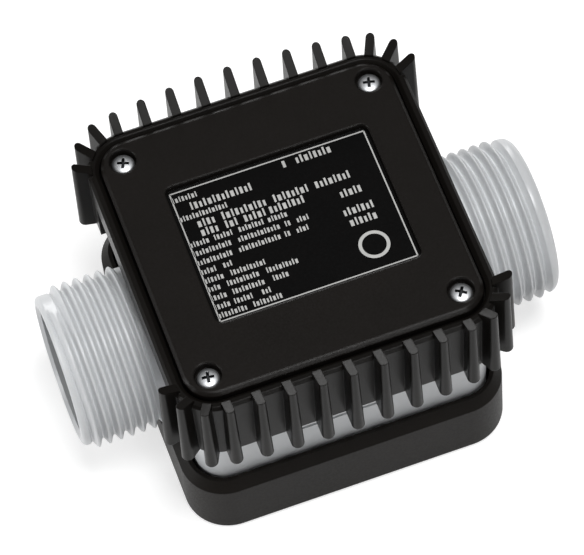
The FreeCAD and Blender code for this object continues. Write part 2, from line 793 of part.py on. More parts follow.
def make_cable_grommet():
    """Rubber sleeve through the back wall, with a lip outside between two fins."""
    x = "fin_pitch / 2"
    start = "(body_side / 2 - body_wall)"
    length = "(body_wall + skirt_gap + skirt_wall)"
    sleeve = cylinder("grommet_sleeve", "grommet_radius", length, x, start,
                      "grommet_height", along_y)
    lip = cylinder("grommet_collar", "grommet_flange", "grommet_lip", x, skirt_outer,
                   "grommet_height", along_y)
    hole = cylinder("grommet_bore", "grommet_hole", "2 * (%s + grommet_lip)" % length, x,
                    "%s - body_wall" % start, "grommet_height", along_y)
    return cut("cable_grommet", fuse("grommet_outside", [sleeve, lip]), hole)


def make_spider(name, side):
    """Flow straightener: outer ring, vanes and a hub that carries the rotor's shaft.

    It is drawn for the +X end with its frame on the flow axis, and turned about Z
    for the -X end.
    """
    body = new_body(name)
    ring = new_sketch(body, "ring_profile", "XZ_Plane")
    outer = "(port_radius - seat_gap)"
    inner = "(port_radius - seat_gap - spider_ring)"
    start = "spider_place"
    end = "spider_place + spider_length"
    draw_polygon(ring, [(start, inner), (end, inner), (end, outer), (start, outer)])
    revolve(body, ring, "outer_ring")
    vane = new_sketch(body, "vane_plan", "YZ_Plane", "spider_place")
    low, high = "-vane_thickness / 2", "vane_thickness / 2"
    foot, top = "hub_radius / 2", "(port_radius - seat_gap - spider_ring / 2)"
    draw_polygon(vane, [(low, foot), (high, foot), (high, top), (low, top)])
    first = pad(body, vane, "spider_length", "first_vane")
    axis = (origin_feature(body, "X_Axis"), [""])
    polar(body, first, axis, spider_vanes, 360, "vanes")
    hub = new_sketch(body, "hub_circle", "YZ_Plane", "spider_hub_face")
    draw_circle(hub, "0", "0", "hub_radius")
    hub_end = "spider_place + spider_length + spider_nose"
    hub_pad = pad(body, hub, "%s - spider_hub_face" % hub_end, "hub")
    far = value_of(hub_end)

    def nose_edge(edge):
        return abs(edge.BoundBox.XMin - far) < 0.01 and abs(edge.BoundBox.XMax - far) < 0.01
    dress(body, "Fillet", hub_pad, nose_edge, "spider_nose_round", "nose")
    seat = new_sketch(body, "shaft_hole_plan", "YZ_Plane", "spider_hub_face")
    draw_circle(seat, "0", "0", "shaft_radius + seat_gap")
    pocket(body, seat, "shaft_seat", "shaft_hole", upward=True)
    body.Placement = Placement(Vector(), Rotation(Vector(0, 0, 1), 0 if side > 0 else 180))
    bind(body, ".Placement.Base.z", "flow_height")
    return body


def make_turbine_rotor():
    """Hub with helical blades and two radial magnet pockets."""
    body = new_body("turbine_rotor")
    hub = new_sketch(body, "hub_circle", "YZ_Plane", "-rotor_half")
    draw_circle(hub, "0", "0", "hub_radius")
    hub_pad = pad(body, hub, "2 * rotor_half", "hub")
    end = value_of("rotor_half")

    def rim_edge(edge):
        box = edge.BoundBox
        return box.XLength < 0.01 and abs(abs(box.XMin) - end) < 0.01
    dress(body, "Fillet", hub_pad, rim_edge, "rotor_edge", "hub_rounds")
    section = new_sketch(body, "blade_section", "XZ_Plane")
    start = "-blade_span / 2 - blade_width / 2"
    stop = "-blade_span / 2 + blade_width / 2"
    draw_polygon(section, [(start, "blade_root"), (stop, "blade_root"),
                           (stop, "blade_tip"), (start, "blade_tip")])
    doc.recompute()
    blade = body.newObject("PartDesign::AdditiveHelix", "first_blade")
    blade.Profile = section
    blade.ReferenceAxis = (origin_feature(body, "X_Axis"), [""])
    blade.Mode = "pitch-height-angle"
    bind(blade, "Pitch", "blade_pitch")
    bind(blade, "Height", "blade_span")
    body.Tip = blade
    axis = (origin_feature(body, "X_Axis"), [""])
    polar(body, blade, axis, rotor_blades, 360, "blades")
    bore = new_sketch(body, "bush_bore_plan", "YZ_Plane", "-rotor_half")
    draw_circle(bore, "0", "0", "bush_radius")
    pocket(body, bore, "2 * rotor_half", "bush_bore", upward=True)
    pockets = new_sketch(body, "magnet_plan", "XZ_Plane")
    draw_circle(pockets, "0", "0", "magnet_radius + seat_gap")
    pocket(body, pockets, "2 * hub_radius", "magnet_pockets", both_ways=True)
    bind(body, ".Placement.Base.z", "flow_height")
    return body


def make_rotor_parts():
    """Magnets, bushes, fixed shaft and thrust washers on the flow axis."""
    magnets, bushes, washers = [], [], []
    depth = "(hub_radius - magnet_length - seat_gap)"
    for number, side in enumerate((-1, 1)):
        start = depth if side > 0 else "-%s - magnet_length" % depth
        magnets.append(cylinder("magnet_%d" % number, "magnet_radius", "magnet_length", "0",
                                start, "flow_height", along_y))
        start = "rotor_half - bush_length" if side > 0 else "-rotor_half"
        sleeve = cylinder("bush_sleeve_%d" % number, "bush_radius - seat_gap", "bush_length",
                          start, "0", "flow_height", along_x)
        hole = cylinder("bush_hole_%d" % number, "shaft_radius + shaft_fit", "4 * rotor_half",
                        "-2 * rotor_half", "0", "flow_height", along_x)
        bushes.append(cut("bush_%d" % number, sleeve, hole))
        start = "spider_hub_face - washer_thickness" if side > 0 else "-spider_hub_face"
        disc = cylinder("washer_disc_%d" % number, "washer_radius", "washer_thickness",
                        start, "0", "flow_height", along_x)
        hole = cylinder("washer_hole_%d" % number, "shaft_radius + shaft_fit",
                        "4 * rotor_half", "-2 * rotor_half", "0", "flow_height", along_x)
        washers.append(cut("washer_%d" % number, disc, hole))
    reach = "(spider_hub_face + shaft_seat - seat_gap)"
    shaft = cylinder("rotor_shaft", "shaft_radius", "2 * %s" % reach, "-%s" % reach, "0",
                     "flow_height", along_x)
    return [group("rotor_magnets", magnets), group("rotor_bushes", bushes),
            group("thrust_washers", washers), shaft]


def make_snap_ring(name, side):
    """Open retaining ring in the groove outside a spider."""
    inside = "(spider_place + spider_length + 2 * seat_gap)"
    turn = along_x if side > 0 else along_minus_x
    x = "%d * %s" % (side, inside)
    outer = cylinder(name + "_outer", "port_radius + ring_groove_depth - 2 * seat_gap",
                     "ring_thickness", x, "0", "flow_height", turn)
    inner = cylinder(name + "_inner", "port_radius + ring_groove_depth - 2 * seat_gap - ring_width",
                     "3 * ring_thickness", "%d * (%s - ring_thickness)" % (side, inside), "0",
                     "flow_height", turn)
    ring = cut(name + "_ring", outer, inner)
    mouth = block(name + "_mouth", ("6 * ring_thickness", "ring_mouth", "2 * port_radius"),
                  "%d * %s - 3 * ring_thickness" % (side, inside), "-ring_mouth / 2",
                  "flow_height - 2 * port_radius")
    return cut(name, ring, mouth)


parts = [
    make_meter_body(),
    make_finned_housing(),
    make_top_lid(),
    make_label_plate(),
    make_lid_gasket(),
    make_base_shell(),
    make_screws("lid_screws", True),
    make_screws("base_screws", False),
    make_circuit_board(),
    *make_board_fasteners(),
    make_reed_switch(),
    make_terminal_block(),
    make_pulse_resistor(),
    make_cable_grommet(),
    make_spider("inlet_spider", -1),
    make_spider("outlet_spider", 1),
    make_turbine_rotor(),
    *make_rotor_parts(),
    make_snap_ring("inlet_snap_ring", -1),
    make_snap_ring("outlet_snap_ring", 1),
]
doc.recompute()

for item in doc.Objects:
    if "Invalid" in item.State or "Error" in item.State:
        raise RuntimeError("%s failed: %s" % (item.Name, item.State))
for part in parts:
    if part.Shape.isNull() or not part.Shape.isValid():
        raise RuntimeError("%s has no valid shape" % part.Label)

os.makedirs("parts", exist_ok=True)
for part in parts:
    part.Shape.exportStep("parts/%s.step" % part.Label)
    box = part.Shape.BoundBox
    print("%-18s solids %d volume %9.1f z %6.2f to %6.2f"
          % (part.Label, len(part.Shape.Solids), part.Shape.Volume, box.ZMin, box.ZMax))
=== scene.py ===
import math

import bmesh
import bpy
from mathutils import Matrix, Vector


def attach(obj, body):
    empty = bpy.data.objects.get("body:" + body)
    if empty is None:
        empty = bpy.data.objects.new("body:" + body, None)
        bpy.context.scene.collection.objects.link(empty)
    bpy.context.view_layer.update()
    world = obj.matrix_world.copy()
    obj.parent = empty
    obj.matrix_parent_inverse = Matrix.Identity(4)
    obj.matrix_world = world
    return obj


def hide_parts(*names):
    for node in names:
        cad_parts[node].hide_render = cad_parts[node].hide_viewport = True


# Looks of the turbine flow meter, in metres, in the same frame as the CAD.

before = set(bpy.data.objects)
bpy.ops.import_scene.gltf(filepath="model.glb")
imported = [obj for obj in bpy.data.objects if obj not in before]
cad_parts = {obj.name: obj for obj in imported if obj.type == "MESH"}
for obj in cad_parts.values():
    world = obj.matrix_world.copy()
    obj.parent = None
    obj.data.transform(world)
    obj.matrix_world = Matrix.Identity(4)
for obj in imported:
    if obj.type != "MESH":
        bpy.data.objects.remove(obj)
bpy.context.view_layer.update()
print("frame loaded:", len(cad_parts), "nodes")
mm = 0.001
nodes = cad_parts
# distances under which corners merge, a cut snaps, and an edge counts as lying on a cut
mergeGap = 0.001 * mm
planeGap = 0.0001 * mm
loopGap = 0.01 * mm


def hexColour(text):
    # sRGB hex to the linear colour that the shaders want
    channels = [int(text[i:i + 2], 16) / 255 for i in (0, 2, 4)]
    return [c / 12.92 if c <= 0.04045 else ((c + 0.055) / 1.055) ** 2.4 for c in channels] + [1.0]


def addNode(tree, kind, settings=None, inputs=None, links=None):
    node = tree.nodes.new(kind)
    for name, value in (settings or {}).items():
        setattr(node, name, value)
    for name, value in (inputs or {}).items():
        node.inputs[name].default_value = value
    for name, source in (links or {}).items():
        tree.links.new(source, node.inputs[name])
    return node


# what every finish shares: how broken up its two noises are, the middle part of the grain
# that swings the gloss, the height of the grain and the samples of the softened edges
finish = {
    "patchDetail": 3.0,
    "patchRoughness": 0.55,
    "grainDetail": 2.0,
    "grainRoughness": 0.6,
    "grainLow": 0.3,
    "grainHigh": 0.7,
    "relief": 0.02 * mm,
    "edgeSamples": 4,
}
# sockets of a colour mix that share their names with those of its other kinds
mixFactor, mixFirst, mixSecond, mixResult = 0, 6, 7, 2


def surfaceMaterial(name, look):
    # one maker for every finish: mottled colour, uneven gloss, fine grain and softened edges
    material = bpy.data.materials.new(name)
    material.use_nodes = True
    tree = material.node_tree
    tree.nodes.clear()
    place = addNode(tree, "ShaderNodeTexCoord")
    stretch = addNode(tree, "ShaderNodeMapping", inputs={"Scale": look.get("stretch", (1, 1, 1))},
                      links={"Vector": place.outputs["Object"]})
    patches = addNode(tree, "ShaderNodeTexNoise",
                      inputs={"Scale": 1 / look["patch"], "Detail": finish["patchDetail"],
                              "Roughness": finish["patchRoughness"]},
                      links={"Vector": stretch.outputs["Vector"]})
    grain = addNode(tree, "ShaderNodeTexNoise",
                    inputs={"Scale": 1 / look["grain"], "Detail": finish["grainDetail"],
                            "Roughness": finish["grainRoughness"]},
                    links={"Vector": stretch.outputs["Vector"]})
    colour = addNode(tree, "ShaderNodeMix", {"data_type": "RGBA"},
                     inputs={mixFirst: hexColour(look["dark"]),
                             mixSecond: hexColour(look["light"])},
                     links={mixFactor: patches.outputs["Fac"]})
    gloss = addNode(tree, "ShaderNodeMapRange",
                    inputs={"From Min": finish["grainLow"], "From Max": finish["grainHigh"],
                            "To Min": look["roughness"][0], "To Max": look["roughness"][1]},
                    links={"Value": grain.outputs["Fac"]})
    bump = addNode(tree, "ShaderNodeBump",
                   inputs={"Strength": look["bump"], "Distance": finish["relief"]},
                   links={"Height": grain.outputs["Fac"]})
    if look["edge"]:
        corner = addNode(tree, "ShaderNodeBevel", {"samples": finish["edgeSamples"]},
                         inputs={"Radius": look["edge"]})
        tree.links.new(corner.outputs["Normal"], bump.inputs["Normal"])
    shader = addNode(tree, "ShaderNodeBsdfPrincipled",
                     inputs={"Metallic": look.get("metallic", 0.0)},
                     links={"Base Color": colour.outputs[mixResult],
                            "Roughness": gloss.outputs["Result"],
                            "Normal": bump.outputs["Normal"]})
    for name, value in look.get("shader", {}).items():
        shader.inputs[name].default_value = value
    addNode(tree, "ShaderNodeOutputMaterial", links={"Surface": shader.outputs["BSDF"]})
    return material


looks = {
    # glass-filled nylon, moulded: near black, satin, a fine spark-eroded grain
    "blackNylon": {"dark": "100e0c", "light": "161412", "patch": 14 * mm, "grain": 0.35 * mm,
                   "roughness": (0.3, 0.4), "bump": 0.1, "edge": 0.3 * mm,
                   "shader": {"IOR": 1.53, "Specular IOR Level": 0.1}},
    # the lid has rounder mould edges than the fins
    "lidNylon": {"dark": "13110f", "light": "191614", "patch": 14 * mm, "grain": 0.35 * mm,
                 "roughness": (0.3, 0.4), "bump": 0.1, "edge": 0.6 * mm,
                 "shader": {"IOR": 1.53, "Specular IOR Level": 0.16}},
    # the base is moulded in the same nylon, a little duller and greyer
    "baseNylon": {"dark": "151311", "light": "1c1916", "patch": 18 * mm, "grain": 0.4 * mm,
                  "roughness": (0.4, 0.52), "bump": 0.12, "edge": 0.35 * mm,
                  "shader": {"IOR": 1.53, "Specular IOR Level": 0.08}},
    # PBT polyester, moulded: pale cool grey and smooth, with faint flow marks
    "paleBody": {"dark": "c6c8ca", "light": "d2d4d6", "patch": 16 * mm, "grain": 0.9 * mm,
                 "roughness": (0.28, 0.34), "bump": 0.02, "shader": {"IOR": 1.57},
                 "edge": 0.2 * mm},
    # the same polyester on the threads, whose crests are round already
    "paleThread": {"dark": "c6c8ca", "light": "d2d4d6", "patch": 16 * mm, "grain": 0.9 * mm,
                   "roughness": (0.28, 0.34), "bump": 0.02, "shader": {"IOR": 1.57}, "edge": 0},
    # zinc-plated steel: bright, slightly blue, brushed by the plating barrel
    "zincSteel": {"dark": "d0d2d5", "light": "eceef0", "patch": 1.2 * mm, "grain": 0.12 * mm,
                  "roughness": (0.4, 0.52), "metallic": 1.0, "bump": 0.1, "edge": 0.08 * mm},
    # the same zinc inside the pressed driver recess: dull, and painted dark as the recess's shade
    "recessShadeZinc": {"dark": "3c3d3f", "light": "55575a", "patch": 0.8 * mm, "grain": 0.1 * mm,
                    "roughness": (0.4, 0.5), "metallic": 1.0, "bump": 0.1, "edge": 0.02 * mm},
    # stainless steel of rings, washers and shaft: ground, a fine line along the part
    "stainless": {"dark": "a9aaab", "light": "c3c4c4", "patch": 2 * mm, "grain": 0.1 * mm,
                  "stretch": (0.15, 1, 1), "roughness": (0.22, 0.36), "metallic": 1.0,
                  "bump": 0.1, "edge": 0.05 * mm},
    # label film: black printed polyester, smooth and glossy
    "labelFilm": {"dark": "040404", "light": "070606", "patch": 9 * mm, "grain": 0.5 * mm,
                  "roughness": (0.2, 0.26), "bump": 0.02, "edge": 0.05 * mm,
                  "shader": {"IOR": 1.58, "Specular IOR Level": 0.2}},
    # white screen ink on the label: matt, slightly uneven cover
    "labelInk": {"dark": "a8a8a6", "light": "c8c8c5", "patch": 1.5 * mm, "grain": 0.15 * mm,
                 "roughness": (0.5, 0.65), "bump": 0.1, "edge": 0.02 * mm},
    # nitrile rubber: deep matt black
    "nitrileRubber": {"dark": "100f0f", "light": "191818", "patch": 5 * mm, "grain": 0.2 * mm,
                      "roughness": (0.65, 0.8), "bump": 0.3, "edge": 0.15 * mm},
    # glass-epoxy board under green solder resist, with the weave just telling
    "circuitBoard": {"dark": "0e4023", "light": "16552f", "patch": 3 * mm, "grain": 0.5 * mm,
                     "roughness": (0.3, 0.42), "bump": 0.12, "edge": 0.08 * mm},
    # green polyamide of a terminal block
    "terminalNylon": {"dark": "1c6a3a", "light": "248048", "patch": 3 * mm, "grain": 0.2 * mm,
                      "roughness": (0.4, 0.52), "bump": 0.15, "edge": 0.12 * mm},
    # soft glass of a reed capsule, tinted green by its iron
    "reedGlass": {"dark": "5f8a72", "light": "7aa68c", "patch": 2 * mm, "grain": 0.6 * mm,
                  "roughness": (0.08, 0.14), "bump": 0.02, "shader": {"IOR": 1.5},
                  "edge": 0.1 * mm},
    # epoxy-dipped resistor body in beige
    "resistorLacquer": {"dark": "b79a68", "light": "c9ad7b", "patch": 2 * mm, "grain": 0.3 * mm,
                        "roughness": (0.35, 0.45), "bump": 0.1, "edge": 0.1 * mm},
    # white nylon sleeves under the board
    "whiteNylon": {"dark": "d6d5cf", "light": "e4e3dd", "patch": 2 * mm, "grain": 0.2 * mm,
                   "roughness": (0.4, 0.5), "bump": 0.1, "edge": 0.1 * mm},
    # acetal of the flow straighteners: milky and slippery
    "acetal": {"dark": "d9d8d2", "light": "e8e7e2", "patch": 6 * mm, "grain": 0.4 * mm,
               "roughness": (0.3, 0.4), "bump": 0.06, "shader": {"IOR": 1.48}, "edge": 0.15 * mm},
    # the same acetal, dyed black, of the rotor
    "blackAcetal": {"dark": "161616", "light": "1f1f1f", "patch": 6 * mm, "grain": 0.4 * mm,
                    "roughness": (0.3, 0.42), "bump": 0.06, "shader": {"IOR": 1.48},
                    "edge": 0.15 * mm},
    # sintered bronze bushes, porous and dull
    "sinteredBronze": {"dark": "8a6a42", "light": "a5835a", "patch": 1.5 * mm, "grain": 0.1 * mm,
                       "roughness": (0.4, 0.6), "metallic": 1.0, "bump": 0.25, "edge": 0.05 * mm},
    # nickel-plated neodymium magnets
    "nickelMagnet": {"dark": "a8a59f", "light": "bfbcb6", "patch": 1.5 * mm, "grain": 0.1 * mm,
                     "roughness": (0.16, 0.26), "metallic": 1.0, "bump": 0.05, "edge": 0.1 * mm},
}
materials = {name: surfaceMaterial(name, look) for name, look in looks.items()}

nodeLooks = {
    "finned_housing": "blackNylon", "top_lid": "lidNylon", "base_shell": "baseNylon",
    "meter_body": "paleBody", "label_plate": "labelFilm", "lid_gasket": "nitrileRubber",
    "lid_screws": "zincSteel", "base_screws": "zincSteel", "board_screws": "zincSteel",
    "circuit_board": "circuitBoard", "board_spacers": "whiteNylon", "reed_switch": "reedGlass",
    "terminal_block": "terminalNylon", "pulse_resistor": "resistorLacquer",
    "cable_grommet": "nitrileRubber", "inlet_spider": "acetal", "outlet_spider": "acetal",
    "turbine_rotor": "blackAcetal", "rotor_magnets": "nickelMagnet",
    "rotor_bushes": "sinteredBronze", "thrust_washers": "stainless", "rotor_shaft": "stainless",
    "inlet_snap_ring": "stainless", "outlet_snap_ring": "stainless",
}
for nodeName, look in nodeLooks.items():
    node = nodes[nodeName]
    node.data.materials.clear()
    node.data.materials.append(materials[look])
print("materials made:", len(materials))


def newPiece(name, mesh, look, body="meter"):
    data = bpy.data.meshes.new(name)
    mesh.to_mesh(data)
    mesh.free()
    data.materials.append(materials[look])
    piece = bpy.data.objects.new(name, data)
    bpy.context.scene.collection.objects.link(piece)
    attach(piece, body)
    return piece


def smoothByAngle(piece, angle):
    # smooth faces, sharp only where the surface really turns
    mesh = bmesh.new()
    mesh.from_mesh(piece.data)
    for face in mesh.faces:
        face.smooth = True
    for edge in mesh.edges:
        edge.smooth = edge.calc_face_angle(0.0) < angle
    mesh.to_mesh(piece.data)
    mesh.free()


def nodeCopy(name):
    # a merged copy of a CAD node's triangles
    mesh = bmesh.new()
    mesh.from_mesh(nodes[name].data)
    bmesh.ops.remove_doubles(mesh, verts=mesh.verts, dist=mergeGap)
    return mesh


def cutAway(mesh, place, towards):
    # drops what lies past a plane across the flow axis
    bmesh.ops.bisect_plane(mesh, geom=mesh.verts[:] + mesh.edges[:] + mesh.faces[:],
                           dist=planeGap, plane_co=(place, 0, 0), plane_no=(towards, 0, 0),
                           clear_outer=True)


def setRadius(vert, x, radius):
    # puts a corner at a place along the flow axis and a distance from it
    out = Vector((0, vert.co.y, vert.co.z)).normalized() * radius
    vert.co = Vector((x, out.y, out.z))


spigot = {
    "axisHeight": 23.0 * mm,
    "crest": 16.62 * mm,
    "root": 15.14 * mm,
    "pitch": 2.309 * mm,
    "profileSteps": 20,
    "phase": 1.5 * mm,
    "start": 33.4 * mm,
    "neck": 15.9 * mm,
    "end": 50.0 * mm,
    "bore": 13.0 * mm,
    "chamfer": 0.7 * mm,
    "steps": 120,
    "mergeGap": 0.002 * mm,
    "smoothAngle": 38,
    # turns made beyond each end and then cut off, the degrees in which the thread grows
    # from nothing, and how steeply it may stand over the plain end
    "spareTurns": 2,
    "fade": 30,
    "runOut": 2,
    # the angle where the thread starts, how far out it reaches there, and the plain end
    "outletSpigot": {"startAngle": 300, "reach": 47.92 * mm, "pilot": 16.15 * mm,
                     "round": 1.9 * mm},
    "inletSpigot": {"startAngle": 110, "reach": 48.98 * mm, "pilot": 15.45 * mm,
                    "round": 1.0 * mm},
}


def extrudeRing(mesh, loop, x, radius):
    # pulls an open loop out to a plain ring round the flow axis, and returns the new loop
    grown = bmesh.ops.extrude_edge_only(mesh, edges=loop)["geom"]
    for vert in (item for item in grown if isinstance(item, bmesh.types.BMVert)):
        setRadius(vert, x, radius)
    return [item for item in grown if isinstance(item, bmesh.types.BMEdge) and item.is_boundary]


def openLoop(mesh, x):
    return [edge for edge in mesh.edges if edge.is_boundary
            and all(abs(vert.co.x - x) < loopGap for vert in edge.verts)]


def makeSpigot(name, turned):
    # one round-crested tooth per turn, spun about the flow axis while it climbs by the pitch
    mesh = bmesh.new()
    pitch, steps, root = spigot["pitch"], spigot["profileSteps"], spigot["root"]
    rise = spigot["crest"] - root
    valley = spigot["phase"] - pitch / 2
    spare = spigot["spareTurns"]
    first = valley + pitch * math.floor((spigot["start"] - valley) / pitch - spare)
    turns = math.ceil((spigot["end"] - first) / pitch) + spare
    points = [mesh.verts.new((first + pitch * count / steps, 0,
                              root + rise * (0.5 - 0.5 * math.cos(2 * math.pi * count / steps))))
              for count in range(turns * steps + 1)]
    edges = [mesh.edges.new(pair) for pair in zip(points, points[1:])]
    bmesh.ops.spin(mesh, geom=points + edges, cent=(0, 0, 0), axis=(1, 0, 0),
                   dvec=(pitch / spigot["steps"], 0, 0), angle=2 * math.pi,
                   steps=spigot["steps"])
    bmesh.ops.remove_doubles(mesh, verts=mesh.verts, dist=spigot["mergeGap"])
    for place, towards in ((spigot["start"], -1), (spigot["end"], 1)):
        cutAway(mesh, place, towards)
    helix = spigot[name]
    for vert in mesh.verts:
        radius = math.hypot(vert.co.y, vert.co.z)
        angle = math.degrees(math.atan2(vert.co.z, vert.co.y))
        behind = (helix["startAngle"] - angle) % 360
        # the last turn grows from its start, and past the thread the spigot is plain
        threadEnd = helix["reach"] - pitch * behind / 360
        if vert.co.x > threadEnd:
            # a short slope leads from the last valley up to the plain end
            radius = min(helix["pilot"], root + vert.co.x - threadEnd)
        elif vert.co.x > threadEnd - pitch:
            grown = min(1, behind / spigot["fade"])
            radius = radius * grown + min(helix["pilot"], radius) * (1 - grown)
        over = max(0, vert.co.x - spigot["end"] + helix["round"])
        fall = helix["round"] - math.sqrt(max(0, helix["round"] ** 2 - over ** 2))
        radius = min(radius, spigot["neck"] + vert.co.x - spigot["start"],
                     helix["pilot"] + spigot["runOut"] * max(0, threadEnd - vert.co.x) - fall)
        setRadius(vert, vert.co.x, radius)
    inner = openLoop(mesh, spigot["start"])
    outer = openLoop(mesh, spigot["end"])
    chamfer, end = spigot["chamfer"], spigot["end"]
    outer = extrudeRing(mesh, outer, end, spigot["bore"] + chamfer)
    outer = extrudeRing(mesh, outer, end - chamfer, spigot["bore"])
    inner = extrudeRing(mesh, inner, spigot["start"], spigot["bore"])
    bmesh.ops.bridge_loops(mesh, edges=inner + outer)
    if turned:
        bmesh.ops.rotate(mesh, verts=mesh.verts, cent=(0, 0, 0),
                         matrix=Matrix.Rotation(math.pi, 3, "Z"))
    bmesh.ops.translate(mesh, verts=mesh.verts, vec=(0, 0, spigot["axisHeight"]))
    bmesh.ops.recalc_face_normals(mesh, faces=mesh.faces)
    piece = newPiece(name, mesh, "paleThread")
    smoothByAngle(piece, math.radians(spigot["smoothAngle"]))
    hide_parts("meter_body")


makeSpigot("outletSpigot", False)
makeSpigot("inletSpigot", True)

bodyLook = {"smoothAngle": 28}
mesh = nodeCopy("meter_body")
for side in (-1, 1):
    cutAt = side * spigot["start"]
    cutAway(mesh, cutAt, side)
    bmesh.ops.bridge_loops(mesh, edges=openLoop(mesh, cutAt))
mouldedBody = newPiece("mouldedBody", mesh, "paleBody")
smoothByAngle(mouldedBody, math.radians(bodyLook["smoothAngle"]))
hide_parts("meter_body")
print("body and threaded spigots made")

screwLook = {
    "place": 25.6 * mm,
    "headRadius": 2.2 * mm,
    "rimHeight": 0.7 * mm,
    "headHeight": 1.38 * mm,
    "shankRadius": 1.42 * mm,
    "length": 11.9 * mm,
    "tip": 1.6 * mm,
    "steps": 40,
    "crownStep": 15,
    "rimBevel": 0.08 * mm,
    "smoothAngle": 35,
    "crossReach": 1.65 * mm,
    "crossWidth": 0.8 * mm,
    "crossDepth": 0.95 * mm,
    "crossTaper": 0.5,
    "seatTop": 46.9 * mm,
    "seatBase": 1.6 * mm,
    # how far each screw was driven round, in degrees, by the corner it sits in
    "turns": {(-1, -1): -10, (1, -1): -32, (1, 1): -14, (-1, 1): -21},
}


def screwMesh():
    # half profile from the crown to the point, spun round the screw's own axis
    mesh = bmesh.new()
    head, rim, top = screwLook["headRadius"], screwLook["rimHeight"], screwLook["headHeight"]
    crown = [(head * math.sin(turn), rim + (top - rim) * math.cos(turn))
             for turn in (math.radians(angle) for angle in range(0, 91, screwLook["crownStep"]))]
    shank, length, tip = screwLook["shankRadius"], screwLook["length"], screwLook["tip"]
    bevel = screwLook["rimBevel"]
    profile = crown + [(head, bevel), (head - bevel, 0), (shank, 0),
                       (shank, tip - length), (0, -length)]
    points = [mesh.verts.new((radius, 0, height)) for radius, height in profile]
    edges = [mesh.edges.new(pair) for pair in zip(points, points[1:])]
    bmesh.ops.spin(mesh, geom=points + edges, cent=(0, 0, 0), axis=(0, 0, 1),
                   angle=2 * math.pi, steps=screwLook["steps"], use_merge=True)
    bmesh.ops.remove_doubles(mesh, verts=mesh.verts, dist=mergeGap)
    bmesh.ops.recalc_face_normals(mesh, faces=mesh.faces)
    return mesh


def crossMesh():
    # two tapered bars that cut the driver recess
    mesh = bmesh.new()
    for turn in (0, math.pi / 2):
        bar = bmesh.ops.create_cube(mesh, size=1)["verts"]
        bmesh.ops.scale(mesh, verts=bar, vec=(2 * screwLook["crossReach"],
                                              screwLook["crossWidth"],
                                              2 * screwLook["crossDepth"]))
        low = [vert for vert in bar if vert.co.z < 0]
        taper = screwLook["crossTaper"]
        bmesh.ops.scale(mesh, verts=low, vec=(taper, taper, 1))
        bmesh.ops.rotate(mesh, verts=bar, cent=(0, 0, 0), matrix=Matrix.Rotation(turn, 3, "Z"))
    bmesh.ops.translate(mesh, verts=mesh.verts, vec=(0, 0, screwLook["headHeight"]))
    return mesh


def meshObject(name, mesh):
    data = bpy.data.meshes.new(name)
    mesh.to_mesh(data)
    mesh.free()
    item = bpy.data.objects.new(name, data)
    bpy.context.scene.collection.objects.link(item)
    return item


def recessedScrew():
    # one screw with its driver recess, whose faces take the second material, the painted shade of
    # the recess
    screw, cross = meshObject("screwBlank", screwMesh()), meshObject("crossCutter", crossMesh())
    for item in (screw, cross):
        for look in ("zincSteel", "recessShadeZinc"):
            item.data.materials.append(materials[look])
    for face in cross.data.polygons:
        face.material_index = 1
    cut = screw.modifiers.new("driverRecess", "BOOLEAN")
    cut.object = cross
    cut.operation = "DIFFERENCE"
    cut.solver = "EXACT"
    cut.use_self = True
    bpy.context.view_layer.update()
    shaped = screw.evaluated_get(bpy.context.evaluated_depsgraph_get())
    mesh = bmesh.new()
    mesh.from_mesh(shaped.to_mesh())
    for item in (screw, cross):
        bpy.data.objects.remove(item)
    return mesh


def makeScrews(name, node, seat, flipped):
    one = recessedScrew()
    data = bpy.data.meshes.new("oneScrew")
    one.to_mesh(data)
    one.free()
    mesh = bmesh.new()
    for (sideX, sideY), turn in screwLook["turns"].items():
        start = len(mesh.verts)
        mesh.from_mesh(data)
        mesh.verts.ensure_lookup_table()
        added = mesh.verts[start:]
        bmesh.ops.rotate(mesh, verts=added, cent=(0, 0, 0),
                         matrix=Matrix.Rotation(math.radians(turn), 3, "Z"))
        if flipped:
            bmesh.ops.rotate(mesh, verts=added, cent=(0, 0, 0),
                             matrix=Matrix.Rotation(math.pi, 3, "X"))
        bmesh.ops.translate(mesh, verts=added, vec=(sideX * screwLook["place"],
                                                    sideY * screwLook["place"], seat))
    piece = newPiece(name, mesh, "zincSteel")
    # second slot: painted shade on the driver recess faces
    piece.data.materials.append(materials["recessShadeZinc"])
    smoothByAngle(piece, math.radians(screwLook["smoothAngle"]))
    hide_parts(node)


makeScrews("lidScrews", "lid_screws", screwLook["seatTop"], False)
makeScrews("baseScrews", "base_screws", screwLook["seatBase"], True)
print("screws made")

labelLook = {
    "top": 47.7 * mm,
    "ink": 0.03 * mm,
    "centre": (0.7 * mm, 0.4 * mm),
    "frameHalf": (20.1 * mm, 15.2 * mm),
    "frameWidth": 0.28 * mm,
    "small": 1.25 * mm,
    "large": 1.75 * mm,
    "ringPlace": (13.9 * mm, -9.4 * mm),
    "ringRadius": 3.1 * mm,
    "ringWidth": 0.7 * mm,
    "ringSteps": 48,
    # bars of uneven width and height, closed up like a printed word, as shares of the row's size
    "barWidths": (0.24, 0.4, 0.2, 0.34, 0.28),
    "barLifts": (0.0, 0.22, 0.0, 0.12, 0.25),
    "barGap": 0.24,
    # a block ends when less than this is left of it
    "endRoom": 0.3 * mm,
}
